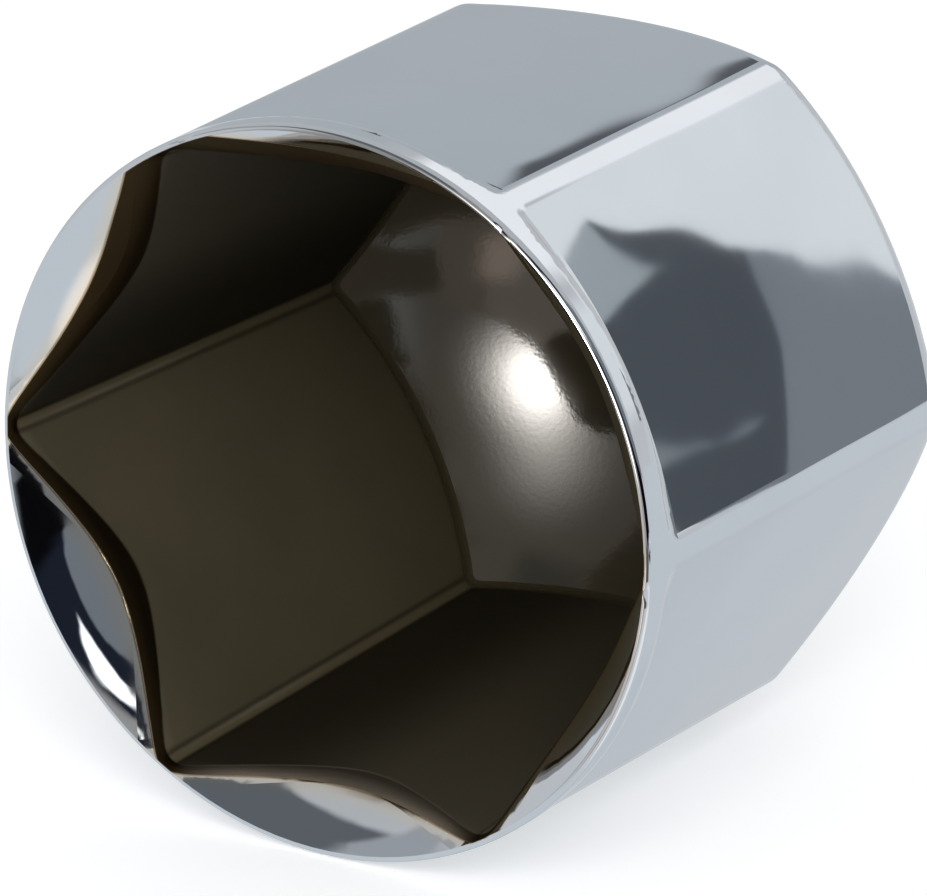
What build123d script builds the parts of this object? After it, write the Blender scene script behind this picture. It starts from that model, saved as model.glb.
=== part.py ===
"""Wheel nut cover cap: a hexagonal cap with a round mouth, a curved lead-in, a tapered socket and a domed end.

Millimetres, +Z up. The cap lies on its side: its axis runs along +Y, from the open mouth to the closed end.
The origin is on the floor below the middle of the cap.
"""

import math
import os

from build123d import *

os.makedirs("parts", exist_ok=True)

# The nut that the cap is pushed on to, and how far it goes in before it wedges.
nut_across_flats = 19.0
grip_depth = 9.0

# The rounded edge of the mouth, and inside it the curved lead-in, the tapered socket and its domed floor.
mouth_edge_round = 0.22
lead_in_angle = 31.0
lead_in_curve_radius = 6.0
socket_taper = 3.0
socket_corner_round = 0.6
socket_lip_round = 1.3
socket_dome_radius = 15.0
socket_dome_round = 0.3

# Walls at the mouth, outside the socket's corners and outside its flats, and the wall at the closed end.
corner_wall = 0.19
flat_wall = 0.33
end_wall = 1.2

# Outside: a round body with six flats on it, which stop short of the mouth and leave a ring there.
cap_length = 22.3
ring_width = 1.1
flare_angle = 45.0
end_dome_radius = 15.6
flat_edge_round = 1.0

flats = 6
sketch_margin = 3.0
lead_in_overlap = 0.6
socket_across_flats = nut_across_flats + 2 * grip_depth * math.tan(math.radians(socket_taper))
socket_corner_radius = socket_across_flats / 2 / math.cos(math.pi / flats)
socket_depth = cap_length - end_wall
socket_dome_start = socket_depth - socket_dome_radius
body_radius = socket_corner_radius + corner_wall
body_across_flats = socket_across_flats + 2 * flat_wall
shoulder_length = cap_length - end_dome_radius + math.sqrt(end_dome_radius**2 - body_radius**2)
lead_in_radius = body_radius - mouth_edge_round
lead_in_end_radius = socket_across_flats / 2 - lead_in_overlap
lead_in_depth = (lead_in_radius - lead_in_end_radius) / math.tan(math.radians(lead_in_angle))
axis_height = body_radius
mouth_y = -cap_length / 2

axis = Axis((0, 0, axis_height), (0, 1, 0))
# Looking along the axis from the mouth, and half a section with its local x along the axis, from the mouth.
mouth_plane = Plane(origin=(0, mouth_y, axis_height), x_dir=(1, 0, 0), z_dir=(0, 1, 0))
section_plane = Plane(origin=(0, mouth_y, axis_height), x_dir=(0, 1, 0), z_dir=(0, 0, -1))

# What is cut away outside to leave the six flats: a sleeve with a conical front, round a hexagonal bar.
sleeve_bore = body_across_flats / 2 - sketch_margin
flare_run = (body_radius - sleeve_bore) / math.tan(math.radians(flare_angle))
with BuildPart() as flats_cut:
    with BuildSketch(section_plane):
        with BuildLine():
            Polyline(
                (ring_width, body_radius),
                (ring_width + flare_run, sleeve_bore),
                (cap_length + sketch_margin, sleeve_bore),
                (cap_length + sketch_margin, body_radius + sketch_margin),
                (ring_width - sketch_margin / math.tan(math.radians(flare_angle)), body_radius + sketch_margin),
                close=True,
            )
        make_face()
    revolve(axis=axis)
    with BuildSketch(mouth_plane):
        RegularPolygon(radius=body_across_flats / 2, side_count=flats, major_radius=False)
    extrude(amount=cap_length + 2 * sketch_margin, mode=Mode.SUBTRACT)

# The space inside: a tapered hexagonal bar with rounded corners and a domed end.
with BuildPart() as socket:
    with BuildSketch(mouth_plane):
        RegularPolygon(radius=socket_across_flats / 2, side_count=flats, major_radius=False)
    extrude(amount=cap_length)
    draft(socket.faces().filter_by(Axis.Y, reverse=True), neutral_plane=mouth_plane, angle=socket_taper)
    fillet(socket.edges() - socket.faces().filter_by(Axis.Y).edges(), radius=socket_corner_round)
    with BuildSketch(section_plane):
        with BuildLine():
            Polyline(
                (socket_dome_start, socket_dome_radius),
                (socket_dome_start, body_radius + sketch_margin),
                (-sketch_margin, body_radius + sketch_margin),
                (-sketch_margin, 0),
                (socket_depth, 0),
            )
            RadiusArc((socket_dome_start, socket_dome_radius), (socket_depth, 0), socket_dome_radius)
        make_face()
    revolve(axis=axis, mode=Mode.INTERSECT)

with BuildPart() as cap:
    # The round blank, with a rounded edge to its mouth and the lead-in in it: a curve that ends inside the socket.
    with BuildSketch(section_plane):
        with BuildLine():
            Line((lead_in_depth, 0), (lead_in_depth, lead_in_end_radius))
            RadiusArc((lead_in_depth, lead_in_end_radius), (0, lead_in_radius), lead_in_curve_radius)
            RadiusArc((0, lead_in_radius), (mouth_edge_round, body_radius), mouth_edge_round)
            Line((mouth_edge_round, body_radius), (shoulder_length, body_radius))
            RadiusArc((shoulder_length, body_radius), (cap_length, 0), end_dome_radius)
            Line((cap_length, 0), (lead_in_depth, 0))
        make_face()
    revolve(axis=axis)

    # The six flats, with every edge that cutting them leaves rounded.
    add(flats_cut.part, mode=Mode.SUBTRACT)
    fillet(cap.edges(Select.LAST), radius=flat_edge_round)

    # The socket, with a rounded lip where it meets the lead-in, and a rounded edge to its domed floor.
    add(socket.part, mode=Mode.SUBTRACT)
    lead_in = cap.faces().filter_by(GeomType.TORUS).sort_by(SortBy.AREA)[-1]
    lip = lead_in.edges().filter_by(GeomType.LINE, reverse=True).filter_by(GeomType.CIRCLE, reverse=True)
    fillet(lip, radius=socket_lip_round)
    socket_floor = cap.faces().filter_by(GeomType.SPHERE).sort_by(SortBy.AREA)[-2]
    fillet(socket_floor.edges().sort_by(Axis.Y)[:-1], radius=socket_dome_round)

cap.part.label = "cap"
export_step(cap.part, "parts/cap.step")
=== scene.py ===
"""Finish, studio and camera for the wheel nut cover cap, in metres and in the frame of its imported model."""

import math

import bmesh
import bpy
from bpy.props import FloatProperty, FloatVectorProperty, PointerProperty
from bpy.types import Operator, Panel, PropertyGroup
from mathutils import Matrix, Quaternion, Vector


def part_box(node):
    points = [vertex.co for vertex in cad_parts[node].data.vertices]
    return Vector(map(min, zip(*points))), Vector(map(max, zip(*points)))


bl_info = {
    "name": "Wheel Nut Cap Finish",
    "version": (1, 0, 0),
    "blender": (4, 5, 0),
    "location": "3D View > Sidebar > Nut Cap",
    "description": "Plates a wheel nut cover cap and sets it in a small photo studio",
    "category": "Material",
}

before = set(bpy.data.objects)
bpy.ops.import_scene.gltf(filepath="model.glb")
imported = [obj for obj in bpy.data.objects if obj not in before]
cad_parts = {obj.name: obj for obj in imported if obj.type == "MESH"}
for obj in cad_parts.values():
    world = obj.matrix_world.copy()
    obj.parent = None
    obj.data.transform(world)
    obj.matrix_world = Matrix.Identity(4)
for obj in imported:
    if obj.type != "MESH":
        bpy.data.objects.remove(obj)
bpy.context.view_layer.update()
cap_low, cap_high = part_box("cap")

# The cap lies on its side. Its axis runs along +Y, from the mouth to the closed end.
AXIS_HEIGHT = (cap_low.z + cap_high.z) / 2
MOUTH_Y = cap_low.y
RING_RADIUS = cap_high.x

# The socket, as the cap's source has it: half its width at the mouth, its taper and its domed floor.
SOCKET_HALF_WIDTH = 0.0099717
SOCKET_TAPER = math.radians(3.0)
DOME_CENTRE = 0.0061
DOME_RADIUS = 0.015

# The lead-in is a round: how deep its centre lies and how far from the axis, and its radius.
LEAD_IN_CENTRE_DEPTH = 0.004662
LEAD_IN_CENTRE_RADIUS = 0.015262
LEAD_IN_CURVE = 0.006
LIP_DROP = 0.0002  # how far below the lead-in's surface the lip's round is followed

# Where the parts of the finish fade in or out, each from its first number to its second. These are in metres.
# The darker band beside a corner of the socket is painted shade, and the light line in it a painted
# highlight.
CORNER_BAND = 0.0002, 0.0004  # away from a corner of the socket, for the darker band beside it
CORNER_LINE = 0.00008, 0.00024  # away from a corner of the socket, for the light line in it
LEAD_IN_SKIN = 0.00005, 0.00008  # off the lead-in's surface
LIP_SKIN = 0.00021, 0.00026  # below the lead-in's surface, past the lip's round
LEAD_IN_END = 0.0042, 0.0045  # from the mouth, past the lead-in and its lip
RING_EDGE = RING_RADIUS - 0.00022, RING_RADIUS - 0.00018  # from the axis, where the ring's edge starts
DOME_START = DOME_CENTRE - 0.0002, DOME_CENTRE  # from the mouth
DOME_DEPTH = 0.012, 0.0125  # from the mouth, where the socket's floor may be met
DOME_SKIN = DOME_RADIUS - 0.0003, DOME_RADIUS - 0.0001  # from the dome's centre, up to the socket's floor
BEHIND_DOME = DOME_RADIUS + 0.0003, DOME_RADIUS + 0.0005  # from the dome's centre, in the wall behind it
BLUSH_START = 0.00005  # outside the bright plating's edge
LOW_LIP_WIDTH = -0.0007, 0.0001  # across the lip, out to the bright plating's edge
EDGE_DRIFT = 0.00008  # how much the bright plating's edge wanders

# These are cosines of the angle round the axis, from the middle of the lower left wall or from the bottom.
LEFT_WALL = -0.866, -0.5  # square to the lower left wall: its shares of x and of up
LEFT_WALL_EDGE = 0.858, 0.872
PAINTED_SHADE_ARC = 0.4, 0.8
LOW_LIP_ARC = 0.87, 0.95

# How light each part of the socket is, as a share of the dark plating's colour, and how much of the painted
# shade shows. Most of these paint light and shade into the colour: the walls away from the light darker,
# painted shade beside the corners and a painted highlight in them.
PAINTED_SHADE_OTHER_WALLS = 0.5
PAINTED_SHADE_WALLS = 0.3
PAINTED_SHADE_BY_CORNERS = 0.4
PAINTED_HIGHLIGHT_IN_CORNERS = 1.05
SOCKET_FLOOR = 0.6
PAINTED_SHADE_STRENGTH = 0.62

# How much the plating's clouds change its colour, and between which of their values.
BRIGHT_CLOUDS, BRIGHT_CLOUD_RANGE = 0.97, (0.35, 0.7)
DARK_CLOUDS, DARK_CLOUD_RANGE = 0.8, (0.3, 0.7)

# What is added to the roughness: by the haze, towards the lip, and on the socket's walls. The last one is how
# much of that its corners lack.
BRIGHT_HAZE = 0.02
DARK_HAZE = 0.06
BLUSH_SOFTNESS = 0.12
WALL_SOFTNESS = 0.5
CORNER_GLOSS = 0.4

# How much less of a metal the dark plating is, except on the lip and in the painted shade, and the refractive
# index and the tint of what it reflects.
DARK_DULLNESS = 0.9
DARK_INDEX = 1.9
DARK_TINT = 1.0, 0.975, 0.945, 1.0

# The relief: how much of the flats' swell runs along the cap, the ripple's length, and the grain's height.
SWELL_ALONG = 0.4
RIPPLE_LENGTH = 0.006
GRAIN_HEIGHT = 0.0000013

# The noises in the finish: how fine each is, how many finer layers it has, and how strong those are.
EDGE_NOISE = 260.0, 1.0, 0.4
CLOUD_NOISE = 140.0, 3.0, 0.55
HAZE_NOISE = 900.0, 3.0, 0.6
RIPPLE_NOISE = 170.0, 0.0, 0.0
GRAIN_NOISE = 7000.0, 1.0, 0.5

# What the plating reflects of the studio: panels, each over those before it. A panel is the bearing, from +Y
# towards +X, and the height of each of its corners, in degrees, then its softness in degrees, whether its
# edges wander as those of real things do, and its colour. Its corners go round a shape with no hollow side.
STUDIO_PANELS = (
    # The grey ceiling edge over the top flat.
    (((-70, -4), (-8, -4), (-4, 29), (-60, 32)), 3.0, False, (0.451, 0.496, 0.54)),
    # The pale wall beside the right flat, the bright strip above it and the dim floor below.
    (((17, 8), (50, 8), (50, 29), (17, 29)), 3.0, False, (0.79, 0.83, 0.86)),
    (((-14, 27), (25, 25), (22, 44), (-20, 44)), 3.0, False, (0.98, 1.0, 1.03)),
    (((-45, -30), (20, -30), (40, -65), (-70, -65)), 5.0, False, (0.57, 0.62, 0.675)),
    # The dark gap between the ceiling's edge and the wall.
    (((-31.25, 23.6), (-29.35, 19.0), (-27, 18.0), (-26, 24), (-28.3, 26.4), (-31.3, 25.6)),
     0.25, False, (0.1, 0.11, 0.125)),
    # The grey screen, the dark doorway in it, and daylight in the doorway's upper corner and as a low streak.
    (((34.9, 19.25), (29.15, 11.85), (26, 4), (38, 2), (38.6, 10), (38.5, 14.3), (37.2, 19.25)),
     0.07, True, (0.205, 0.227, 0.254)),
    (((34.85, 19.15), (32.5, 16.1), (33.6, 14.35), (38.4, 9.9), (38.6, 10), (38.5, 14.3), (37, 19.4)),
     0.06, True, (0.076, 0.088, 0.101)),
    (((37, 20.0), (35.05, 19.3), (34.7, 18.1), (34.55, 17.1), (35.6, 17.2), (36.6, 17.5), (37.5, 18)),
     0.12, True, (0.36, 0.4, 0.43)),
    (((38.0, 15.9), (37.5, 15.5), (36, 13.9), (37.6, 14.6), (38.0, 14.75)),
     0.12, True, (0.225, 0.249, 0.277)),
    # The dark room to the right of the mouth, its darkest part, and in it a grey screen, a lamp and a floor.
    (((104, -15), (143.5, -15.5), (152, 6), (172, 30), (160, 46), (125, 50), (104, 30)),
     1.5, True, (0.012, 0.016, 0.027)),
    (((100, -15), (143.5, -15.5), (150, 6), (104, 6)), 2.0, True, (0.003, 0.003, 0.004)),
    (((90, 2), (112, 3), (124, 4.5), (131, 10), (135, 18), (139, 29), (138, 40), (122, 46), (90, 46)),
     1.0, True, (0.18, 0.2, 0.222)),
    (((143.5, 20.5), (153, 22.5), (158.5, 25.5), (159.5, 34), (156, 36.5), (150, 34), (146, 28)),
     1.2, True, (2.0, 2.05, 2.1)),
    (((124, -15.5), (150, -15.5), (157, -17.5), (161, -22), (158, -27.5), (145, -27.5), (124, -27.5)),
     1.2, True, (0.11, 0.1, 0.09)),
    # The light floor to the right.
    (((104, -25), (126, -36), (128, -50), (122, -66), (90, -70), (80, -30)),
     4.0, False, (0.95, 0.95, 0.95)),
    # The dim upper left of the room.
    (((182, 38), (215, 34), (243, 37), (243, 46), (233, 57), (221, 66), (172, 66)),
     3.0, False, (0.12, 0.135, 0.15)),
    (((226, 24), (256, 24), (256, 34), (240, 38), (226, 38)), 2.5, False, (0.36, 0.385, 0.41)),
)

# The lamp before the mouth: the dim wall behind it, and its narrow and its wide glow, each with its middle,
# how sharply it falls off and how bright it is.
DIM_WALL = ((148, -30), (218, -30), (214, 60), (152, 60)), 6.0, False, (0.3, 0.295, 0.29)
GLOWS = ((177.0, 1.0), 85.0, 19.0), ((181.0, 15.0), 60.0, 2.4)

# The dark edge of that lamp, and the dim floor below it.
LAMP_SHADE = (
    (((157, -14.8), (164, -11.6), (172, -8.5), (178, -25), (185, -50), (162, -46), (155, -28)),
     0.8, True, (0.4, 0.36, 0.32)),
    (((165, -13), (171.6, -7.6), (176.3, -3.8), (182, 0.5), (192, -5), (195, -40), (170, -40)),
     0.5, True, (0.6, 0.55, 0.51)),
    (((164, -20), (172, -20), (175, -29), (166, -30)), 2.5, True, (1.3, 1.1, 1.0)),
    (((175.6, -4.6), (183.3, 5.0), (187.0, 8.8), (192, 10.2), (205, 7), (205, -12), (181, -9.3)),
     0.3, True, (0.01, 0.009, 0.008)),
)

# How far the panels' edges wander, as a share of their distance, how fine that is and how many finer layers
# it has.
WANDER = 0.006
WANDER_SCALE = 24.0
WANDER_DETAIL = 3.0

# The rest of the studio: the floor far away, then the wall at its foot and at its top, each with the heights
# between which it takes over, as sines. Last the colours of the lamp's glow, of the light from all sides, and
# of what the camera sees round the cap.
FAR_FLOOR = 0.62, 0.665, 0.71
WALL_FOOT, WALL_FOOT_HEIGHTS = (0.6, 0.62, 0.65), (-0.03, 0.0)
WALL_TOP, WALL_TOP_HEIGHTS = (0.5, 0.52, 0.54), (0.0, 0.9)
LAMP_COLOUR = 1.0, 0.99, 0.98
FILL_COLOUR = 0.95, 0.97, 1.0
WHITE = 1.0, 1.0, 1.0

# The floor's radius, how far it lies below the cap, so that the two never lie in one plane, and the place of
# the large soft light.
FLOOR_RADIUS = 3.0
FLOOR_GAP = 0.00002
KEY_PLACE = 0.25, -0.4, 0.32


def shade(colour, share=1.0):
    """The colour times that share, with the alpha that a node's socket takes."""
    return (*[part * share for part in colour], 1.0)


class Value:
    """A number in a node tree: a socket or a plain number, with Python's arithmetic adding Math nodes."""

    def __init__(self, tree, source):
        self.tree = tree
        self.source = source

    def math(self, operation, *others):
        """A Math node of that operation on this value and the others."""
        node = self.tree.add("ShaderNodeMath", {"operation": operation}, {0: self.source})
        for place, other in enumerate(others, start=1):
            self.tree.feed(node.inputs[place], other)
        return Value(self.tree, node.outputs[0])

    def __add__(self, other):
        return self.math("ADD", other)

    def __radd__(self, other):
        return self.math("ADD", other)

    def __sub__(self, other):
        return self.math("SUBTRACT", other)

    def __rsub__(self, other):
        return Value(self.tree, other).math("SUBTRACT", self)

    def __mul__(self, other):
        return self.math("MULTIPLY", other)

    def __rmul__(self, other):
        return self.math("MULTIPLY", other)

    def __truediv__(self, other):
        return self.math("DIVIDE", other)

    def root(self):
        return self.math("SQRT")

    def larger(self, other):
        return self.math("MAXIMUM", other)

    def smaller(self, other):
        return self.math("MINIMUM", other)

    def ramp(self, low, high):
        """0 below low, 1 above high, and smooth between them."""
        node = self.tree.add(
            "ShaderNodeMapRange",
            {"interpolation_type": "SMOOTHSTEP"},
            {"Value": self.source, "From Min": low, "From Max": high},
        )
        return Value(self.tree, node.outputs["Result"])


class Tree:
    """A material's or the world's node tree, emptied, with one way to add a node."""

    def __init__(self, owner):
        owner.use_nodes = True
        self.nodes = owner.node_tree.nodes
        self.links = owner.node_tree.links
        self.nodes.clear()

    def feed(self, socket, value):
        """Links a socket or a Value to the socket, or sets a plain value on it."""
        if isinstance(value, Value):
            value = value.source
        if isinstance(value, bpy.types.NodeSocket):
            self.links.new(value, socket)
        else:
            socket.default_value = value

    def add(self, kind, settings=None, sockets=None):
        """A node of that type, with its settings set first and then the values or links of its sockets."""
        node = self.nodes.new(kind)
        for name, value in (settings or {}).items():
            setattr(node, name, value)
        for name, value in (sockets or {}).items():
            self.feed(node.inputs[name], value)
        return node

    def value(self, kind, output, settings=None, sockets=None):
        """One output of a new node, as a Value."""
        return Value(self, self.add(kind, settings, sockets).outputs[output])

    def mix_colour(self, mask, low, high, settings=None):
        """The colour low where the mask is 0 and high where it is 1."""
        node = self.add("ShaderNodeMix", {"data_type": "RGBA", **(settings or {})})
        self.feed(node.inputs["Factor"], mask)
        self.feed(node.inputs[6], low)
        self.feed(node.inputs[7], high)
        return node.outputs[2]

    def split(self, vector):
        """The three parts of a vector, as Values."""
        node = self.add("ShaderNodeSeparateXYZ", None, {0: vector})
        return [Value(self, output) for output in node.outputs]


class CapFinish(PropertyGroup):
    chrome: FloatVectorProperty(
        name="Chrome",
        description="Colour of the bright plating",
        subtype="COLOR",
        size=3,
        min=0.0,
        max=1.0,
        default=(0.79, 0.81, 0.835),
    )
    chrome_roughness: FloatProperty(
        name="Chrome roughness",
        description="How soft the bright plating's reflections are",
        subtype="FACTOR",
        min=0.0,
        max=1.0,
        default=0.035,
    )
    bronze: FloatVectorProperty(
        name="Bronze",
        description="Colour of the thin dark plating in the socket",
        subtype="COLOR",
        size=3,
        min=0.0,
        max=1.0,
        default=(0.088, 0.072, 0.039),
    )
    lip: FloatVectorProperty(
        name="Lip",
        description="Colour of the dark plating on the lip's round",
        subtype="COLOR",
        size=3,
        min=0.0,
        max=1.0,
        default=(0.055, 0.036, 0.016),
    )
    # Painted light: the lip's round is made lighter only at the bottom, where it faces up to the light.
    low_lip_highlight: FloatVectorProperty(
        name="Lower lip",
        description="Colour of the plating on the lip's round at the bottom, at its outer edge",
        subtype="COLOR",
        size=3,
        min=0.0,
        max=1.0,
        default=(0.46, 0.39, 0.3),
    )
    # A cream tint near the socket: a painted reflection of the warm socket walls in the lead-in.
    painted_reflection: FloatVectorProperty(
        name="Blush",
        description="Colour of the bright plating where it thins towards the socket",
        subtype="COLOR",
        size=3,
        min=0.0,
        max=1.0,
        default=(0.86, 0.79, 0.69),
    )
    rim: FloatVectorProperty(
        name="Plating rim",
        description="Colour of the line where the bright plating ends",
        subtype="COLOR",
        size=3,
        min=0.0,
        max=1.0,
        default=(0.5, 0.38, 0.24),
    )
    bronze_roughness: FloatProperty(
        name="Bronze roughness",
        description="How soft the dark plating's reflections are on the socket's floor",
        subtype="FACTOR",
        min=0.0,
        max=1.0,
        default=0.09,
    )
    plating_edge: FloatProperty(
        name="Plating edge",
        description="How far outside the middle of the lip the bright plating ends",
        unit="LENGTH",
        default=0.00011,
    )
    plating_rise: FloatProperty(
        name="Plating rise",
        description="How much further out the bright plating ends at the top",
        unit="LENGTH",
        default=0.0007,
    )
    blush_width: FloatProperty(
        name="Blush width",
        description="How far the blush reaches from the socket",
        unit="LENGTH",
        default=0.00045,
    )
    plating_fade: FloatProperty(
        name="Plating fade",
        description="Width over which the bright plating turns into the dark one",
        unit="LENGTH",
        default=0.00004,
    )
    crown: FloatProperty(
        name="Crown",
        description="How much the flats swell in the middle, as a slope at their long edges",
        default=0.05,
    )
    ripple: FloatProperty(
        name="Ripple",
        description="Slope of the faint waves that moulding leaves in the plating",
        default=0.012,
    )


class StudioSettings(PropertyGroup):
    floor: FloatVectorProperty(
        name="Floor",
        description="Colour of the floor",
        subtype="COLOR",
        size=3,
        min=0.0,
        max=1.0,
        default=(0.9, 0.9, 0.9),
    )
    floor_glow: FloatProperty(
        name="Floor glow",
        description="How much lighter the floor is to the camera than its light makes it",
        default=0.37,
    )
    fill: FloatProperty(
        name="Fill light",
        description="Strength of the plain light from all sides",
        default=0.62,
    )
    key_power: FloatProperty(
        name="Key light",
        description="Power of the large soft light above",
        unit="POWER",
        default=1.5,
    )
    key_size: FloatProperty(
        name="Key light size",
        description="Width of the large soft light above",
        unit="LENGTH",
        default=0.35,
    )
    azimuth: FloatProperty(
        name="Azimuth",
        description="Camera's direction round the cap, from straight into the mouth",
        subtype="ANGLE",
        default=math.radians(33.0),
    )
    elevation: FloatProperty(
        name="Elevation",
        description="Camera's height above the level",
        subtype="ANGLE",
        default=math.radians(19.8),
    )
    roll: FloatProperty(
        name="Roll",
        description="Camera's turn about its own view",
        subtype="ANGLE",
        default=math.radians(0.3),
    )
    distance: FloatProperty(
        name="Distance",
        description="From the camera to the middle of the mouth",
        unit="LENGTH",
        default=0.375,
    )
    lens: FloatProperty(
        name="Lens",
        description="Focal length in millimetres for a sensor 36 mm wide",
        default=480.6,
    )
    aim_right: FloatProperty(
        name="Aim right",
        description="How far right of the middle of the mouth the camera aims",
        unit="LENGTH",
        default=0.00432,
    )
    aim_up: FloatProperty(
        name="Aim up",
        description="How far above the middle of the mouth the camera aims",
        unit="LENGTH",
        default=0.00147,
    )


class NUTCAP_OT_plating(Operator):
    """Plate the cap: bright chrome outside and in the curved lead-in, dark bronze in the socket, with light
    and shade painted into the socket's colour
    """

    bl_idname = "nutcap.plating"
    bl_label = "Plate the cap"

    def execute(self, context):
        finish = context.scene.nutcap_finish
        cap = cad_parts["cap"]
        material = bpy.data.materials.new("plated_plastic")
        tree = Tree(material)
        place = tree.add("ShaderNodeTexCoord").outputs["Object"]
        x, y, z = tree.split(place)
        depth = y - MOUTH_Y
        up = z - AXIS_HEIGHT
        radius = (x * x + up * up).root()

        def noise(scale, detail, roughness):
            """Soft random spots, from 0 to 1."""
            sockets = {"Vector": place, "Scale": scale, "Detail": detail, "Roughness": roughness}
            return tree.value("ShaderNodeTexNoise", "Fac", None, sockets)

        # How far out of the socket's tapered hexagon a point lies: the largest of its three widths. Near a
        # corner the two largest are alike.
        width = narrow = total = up.math("ABSOLUTE")
        for turn in (math.radians(30), math.radians(150)):
            across = (x * math.cos(turn) + up * math.sin(turn)).math("ABSOLUTE")
            width, narrow, total = width.larger(across), narrow.smaller(across), total + across
        off_corner = width * 2.0 + narrow - total
        corner_shade = 1.0 - off_corner.ramp(*CORNER_BAND)
        corner_highlight = 1.0 - off_corner.ramp(*CORNER_LINE)
        outside = width - (SOCKET_HALF_WIDTH - depth * math.tan(SOCKET_TAPER))

        # How far past the middle of the lip's round a point lies, towards the mouth: how far it is out of the
        # socket, less how far it is below the lead-in's surface.
        out = LEAD_IN_CENTRE_RADIUS - radius
        back = (LEAD_IN_CENTRE_DEPTH - depth).larger(0.0)
        below = LEAD_IN_CURVE - (out * out + back * back).root()
        past_lip = outside - below.larger(0.0).smaller(LIP_DROP)

        # The bright plating ends just outside the lip, and further out at the top of the lead-in.
        on_lead_in = 1.0 - below.math("ABSOLUTE").ramp(*LEAD_IN_SKIN)
        rise = (up / radius).larger(0.0) * on_lead_in * finish.plating_rise
        past_edge = past_lip - finish.plating_edge - rise - (noise(*EDGE_NOISE) - 0.5) * EDGE_DRIFT

        # The dark plating is inside that edge, inside the ring, and no deeper than the socket's floor.
        near_lead_in = (1.0 - below.ramp(*LIP_SKIN)) * (1.0 - depth.ramp(*LEAD_IN_END))
        in_hexagon = 1.0 - past_edge.ramp(0.0, finish.plating_fade)
        in_ring = 1.0 - radius.ramp(*RING_EDGE)
        behind = depth - DOME_CENTRE
        from_dome = (radius * radius + behind * behind).root()
        in_dome = (1.0 - from_dome.ramp(*BEHIND_DOME)).larger(1.0 - depth.ramp(*DOME_START))
        bronze = in_hexagon * in_ring * in_dome
        on_lip = bronze * near_lead_in
        on_floor = from_dome.ramp(*DOME_SKIN) * depth.ramp(*DOME_DEPTH)

        # Outside the edge the bright plating has a thin rim and, wider, a cream tint: a painted reflection of
        # the warm socket walls.
        past_rim = past_edge.ramp(finish.plating_fade, finish.plating_fade * 2.0)
        rim = (1.0 - past_rim) * in_ring * near_lead_in
        painted_reflection = (1.0 - past_edge.ramp(BLUSH_START, finish.blush_width)) * near_lead_in * in_ring

        # Painted light and shade: the lower left wall and the socket's floor are kept the lightest, and the
        # two walls beside that wall get a painted shade.
        to_left_wall = (LEFT_WALL[0] * x + LEFT_WALL[1] * up) / radius
        light = to_left_wall.ramp(*LEFT_WALL_EDGE).larger(on_floor)
        painted_shade = to_left_wall.ramp(*PAINTED_SHADE_ARC) * (1.0 - light) * (1.0 - on_lip) * PAINTED_SHADE_STRENGTH
        # A painted highlight on the lip's round at the bottom, where it faces up.
        low_lip_highlight = past_edge.ramp(*LOW_LIP_WIDTH) * (up / radius * -1.0).ramp(*LOW_LIP_ARC) * on_lip

        # Plating isn't even: cloudy in the socket, all but clear outside.
        cloud = noise(*CLOUD_NOISE)
        haze = noise(*HAZE_NOISE) - 0.5
        bright = tree.mix_colour(
            cloud.ramp(*BRIGHT_CLOUD_RANGE), shade(finish.chrome), shade(finish.chrome, BRIGHT_CLOUDS)
        )
        dark = tree.mix_colour(
            cloud.ramp(*DARK_CLOUD_RANGE), shade(finish.bronze), shade(finish.bronze, DARK_CLOUDS)
        )
        # Painted light and shade: the walls away from the light darker, the shaded walls darker still,
        # painted shade beside the corners and a painted highlight in them.
        dark = tree.mix_colour(light, shade(finish.bronze, PAINTED_SHADE_OTHER_WALLS), dark)
        dark = tree.mix_colour(painted_shade, dark, shade(finish.bronze, PAINTED_SHADE_WALLS))
        dark = tree.mix_colour(corner_shade, dark, shade(finish.bronze, PAINTED_SHADE_BY_CORNERS))
        dark = tree.mix_colour(corner_highlight, dark, shade(finish.bronze, PAINTED_HIGHLIGHT_IN_CORNERS))
        dark = tree.mix_colour(on_floor, dark, shade(finish.bronze, SOCKET_FLOOR))
        dark = tree.mix_colour(on_lip, dark, shade(finish.lip))
        dark = tree.mix_colour(low_lip_highlight, dark, shade(finish.low_lip_highlight))
        colour = tree.mix_colour(painted_reflection, bright, shade(finish.painted_reflection))
        colour = tree.mix_colour(rim, colour, shade(finish.rim))
        colour = tree.mix_colour(bronze, colour, dark)

        on_wall = 1.0 - on_floor.larger(corner_shade * CORNER_GLOSS)
        bright_roughness = finish.chrome_roughness + haze * BRIGHT_HAZE + painted_reflection * BLUSH_SOFTNESS
        dark_roughness = finish.bronze_roughness + haze * DARK_HAZE + on_wall * WALL_SOFTNESS
        roughness = bright_roughness + (dark_roughness - bright_roughness) * bronze
        # On the lip and in the painted shade the dark plating stays a metal, which darkens it more.
        metal_too = on_lip.larger(painted_shade * (1.0 - corner_highlight))
        metallic = 1.0 - bronze * DARK_DULLNESS * (1.0 - metal_too)

        # The flats swell a little, the moulding has faint waves in it, and the socket a fine grain.
        along = depth - RING_RADIUS
        swell = (radius * radius + along * along * SWELL_ALONG) * (-finish.crown / RING_RADIUS)
        wave = (noise(*RIPPLE_NOISE) - 0.5) * (finish.ripple * RIPPLE_LENGTH)
        grain = (noise(*GRAIN_NOISE) - 0.5) * bronze * GRAIN_HEIGHT
        height = swell + wave + grain
        bump = tree.add("ShaderNodeBump", None, {"Strength": 1.0, "Distance": 1.0, "Height": height})

        sockets = {
            "Base Color": colour,
            "Roughness": roughness,
            "Metallic": metallic,
            "IOR": DARK_INDEX,
            "Specular Tint": DARK_TINT,
            "Normal": bump.outputs["Normal"],
        }
        shader = tree.add("ShaderNodeBsdfPrincipled", None, sockets)
        tree.add("ShaderNodeOutputMaterial", None, {"Surface": shader.outputs["BSDF"]})
        cap.data.materials.clear()
        cap.data.materials.append(material)
        return {"FINISHED"}


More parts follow.
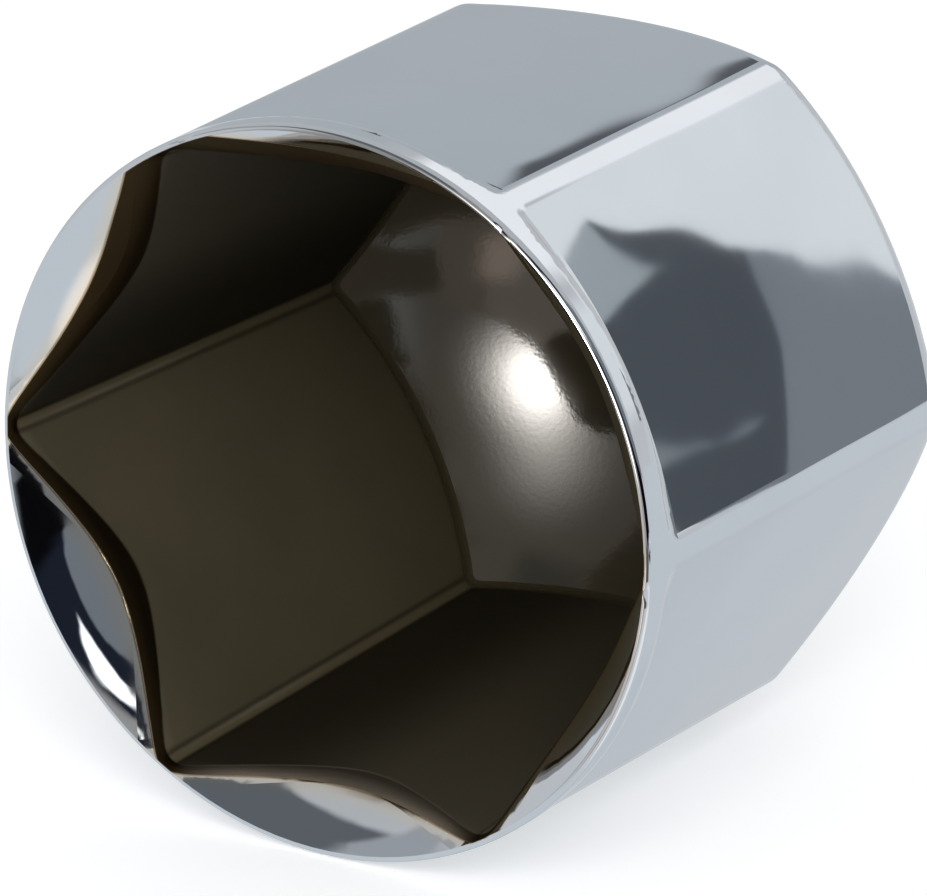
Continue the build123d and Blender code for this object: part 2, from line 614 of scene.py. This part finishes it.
class NUTCAP_OT_studio(Operator):
    """Set the cap on a pale floor under a soft studio light"""

    bl_idname = "nutcap.studio"
    bl_label = "Set up the studio"

    def execute(self, context):
        scene = context.scene
        self.floor(scene)
        self.world(scene)
        self.lamp(scene)
        scene.view_settings.view_transform = "Standard"
        return {"FINISHED"}

    def floor(self, scene):
        """A wide round floor under the cap, white to the camera but for the shadow."""
        settings = scene.nutcap_studio
        mesh = bpy.data.meshes.new("floor")
        floor = bpy.data.objects.new("floor", mesh)
        scene.collection.objects.link(floor)
        bm = bmesh.new()
        bmesh.ops.create_circle(bm, cap_ends=True, segments=64, radius=FLOOR_RADIUS)
        bmesh.ops.translate(bm, vec=(0, 0, -FLOOR_GAP), verts=bm.verts)
        bm.to_mesh(mesh)
        bm.free()
        material = bpy.data.materials.new("floor")
        tree = Tree(material)
        paper = tree.add("ShaderNodeBsdfDiffuse", None, {"Color": shade(settings.floor)})
        white = {"Color": shade(WHITE), "Strength": settings.floor_glow}
        glow = tree.add("ShaderNodeEmission", None, white)
        both = tree.add("ShaderNodeAddShader", None, {0: paper.outputs[0], 1: glow.outputs[0]})
        seen = tree.value("ShaderNodeLightPath", "Is Camera Ray")
        shaders = {"Fac": seen, 1: paper.outputs[0], 2: both.outputs[0]}
        mix = tree.add("ShaderNodeMixShader", None, shaders)
        tree.add("ShaderNodeOutputMaterial", None, {"Surface": mix.outputs[0]})
        mesh.materials.append(material)
        floor.visible_glossy = False

    def world(self, scene):
        """White to the camera, plain to the floor, and pale walls and dark gaps in reflections."""
        world = bpy.data.worlds.new("studio")
        scene.world = world
        tree = Tree(world)
        direction = tree.add("ShaderNodeTexCoord").outputs["Generated"]
        path = tree.add("ShaderNodeLightPath")

        # The direction, moved a little one way and another, for the panels whose edges wander.
        spots = {"Vector": direction, "Scale": WANDER_SCALE, "Detail": WANDER_DETAIL}
        wander = tree.add("ShaderNodeTexNoise", None, spots).outputs["Color"]
        shift = tree.add(
            "ShaderNodeVectorMath",
            {"operation": "MULTIPLY_ADD"},
            {0: wander, 1: [2 * WANDER] * 3, 2: [-WANDER] * 3},
        ).outputs[0]
        bent = tree.add("ShaderNodeVectorMath", {"operation": "ADD"}, {0: direction, 1: shift}).outputs[0]

        def towards(bearing, height):
            """The unit vector with that bearing and height, in degrees."""
            a, e = math.radians(bearing), math.radians(height)
            return Vector((math.sin(a) * math.cos(e), math.cos(a) * math.cos(e), math.sin(e)))

        def facing(vector, axis):
            """How far the vector goes along the axis."""
            sockets = {0: vector, 1: axis}
            return tree.value("ShaderNodeVectorMath", "Value", {"operation": "DOT_PRODUCT"}, sockets)

        def panel(colour, corners, soft, wanders, tone):
            """The colour with a panel of another one over it."""
            corners = [towards(*corner) for corner in corners]
            middle = sum(corners, Vector())
            soft = math.sin(math.radians(soft))
            mask = None
            for corner, following in zip(corners, corners[1:] + corners[:1]):
                inward = corner.cross(following).normalized()
                if inward.dot(middle) < 0:
                    inward = -inward
                inside = facing(bent if wanders else direction, inward).ramp(-soft, soft)
                mask = mask * inside if mask else inside
            return tree.mix_colour(mask, colour, shade(tone))

        def glow(middle, sharpness, brightness):
            """A round light that fades from its middle."""
            return facing(direction, towards(*middle)).larger(0.0).math("POWER", sharpness) * brightness

        # A pale floor below, and a wall that darkens towards the ceiling above.
        _, _, rise = tree.split(direction)
        wall = tree.mix_colour(rise.ramp(*WALL_TOP_HEIGHTS), shade(WALL_FOOT), shade(WALL_TOP))
        colour = tree.mix_colour(rise.ramp(*WALL_FOOT_HEIGHTS), shade(FAR_FLOOR), wall)

        # The lamp before the mouth, then all that stands before it and beside it.
        colour = panel(colour, *DIM_WALL)
        narrow, wide = GLOWS
        light = tree.add("ShaderNodeVectorMath", {"operation": "SCALE"}, {0: LAMP_COLOUR})
        tree.feed(light.inputs["Scale"], glow(*narrow) + glow(*wide))
        colour = tree.mix_colour(1.0, colour, light.outputs[0], {"blend_type": "ADD"})
        for place in STUDIO_PANELS + LAMP_SHADE:
            colour = panel(colour, *place)

        reflected = tree.add("ShaderNodeBackground", None, {"Color": colour, "Strength": 1.0})
        cool = {"Color": shade(FILL_COLOUR), "Strength": scene.nutcap_studio.fill}
        plain = tree.add("ShaderNodeBackground", None, cool)
        white = tree.add("ShaderNodeBackground", None, {"Color": shade(WHITE), "Strength": 1.0})
        shaders = {"Fac": path.outputs["Is Glossy Ray"], 1: plain.outputs[0], 2: reflected.outputs[0]}
        lit = tree.add("ShaderNodeMixShader", None, shaders)
        shaders = {"Fac": path.outputs["Is Camera Ray"], 1: lit.outputs[0], 2: white.outputs[0]}
        seen = tree.add("ShaderNodeMixShader", None, shaders)
        tree.add("ShaderNodeOutputWorld", None, {"Surface": seen.outputs[0]})

    def lamp(self, scene):
        """One large soft lamp, above and behind the camera."""
        settings = scene.nutcap_studio
        lamp = bpy.data.lights.new("key", "AREA")
        lamp.shape = "DISK"
        lamp.size = settings.key_size
        lamp.energy = settings.key_power
        key = bpy.data.objects.new("key", lamp)
        key.location = KEY_PLACE
        key.rotation_mode = "QUATERNION"
        key.rotation_quaternion = (-key.location).to_track_quat("-Z", "Y")
        key.visible_glossy = False
        scene.collection.objects.link(key)


class NUTCAP_OT_camera(Operator):
    """Put the camera in front of the mouth, to its right and a little above"""

    bl_idname = "nutcap.camera"
    bl_label = "Place the camera"

    def execute(self, context):
        settings = context.scene.nutcap_studio
        a, e = settings.azimuth, settings.elevation
        back = Vector((math.sin(a) * math.cos(e), -math.cos(a) * math.cos(e), math.sin(e)))
        right = Vector((math.cos(a), math.sin(a), 0.0))
        up = back.cross(right)
        mouth = Vector((0.0, MOUTH_Y, AXIS_HEIGHT))
        place = mouth + back * settings.distance
        aim = mouth + right * settings.aim_right + up * settings.aim_up
        lens = bpy.data.cameras.new("camera")
        lens.sensor_width = 36.0
        lens.lens = settings.lens
        camera = bpy.data.objects.new("camera", lens)
        camera.location = place
        camera.rotation_mode = "QUATERNION"
        look = (aim - place).to_track_quat("-Z", "Y")
        camera.rotation_quaternion = look @ Quaternion((0.0, 0.0, 1.0), settings.roll)
        context.scene.collection.objects.link(camera)
        context.scene.camera = camera
        return {"FINISHED"}


class NUTCAP_PT_sidebar(Panel):
    """The cap's finish, studio and camera"""

    bl_idname = "NUTCAP_PT_sidebar"
    bl_label = "Nut cap"
    bl_space_type = "VIEW_3D"
    bl_region_type = "UI"
    bl_category = "Nut Cap"

    def draw(self, context):
        layout = self.layout
        for settings in (context.scene.nutcap_finish, context.scene.nutcap_studio):
            for name in settings.__annotations__:
                layout.prop(settings, name)
        for operator in (NUTCAP_OT_plating, NUTCAP_OT_studio, NUTCAP_OT_camera):
            layout.operator(operator.bl_idname)


CLASSES = (
    CapFinish,
    StudioSettings,
    NUTCAP_OT_plating,
    NUTCAP_OT_studio,
    NUTCAP_OT_camera,
    NUTCAP_PT_sidebar,
)


def register():
    for cls in CLASSES:
        bpy.utils.register_class(cls)
    bpy.types.Scene.nutcap_finish = PointerProperty(type=CapFinish)
    bpy.types.Scene.nutcap_studio = PointerProperty(type=StudioSettings)


def unregister():
    del bpy.types.Scene.nutcap_studio
    del bpy.types.Scene.nutcap_finish
    for cls in reversed(CLASSES):
        bpy.utils.unregister_class(cls)


def main():
    register()
    bpy.ops.nutcap.plating()
    bpy.ops.nutcap.studio()
    bpy.ops.nutcap.camera()


if __name__ == "__main__":
    main()
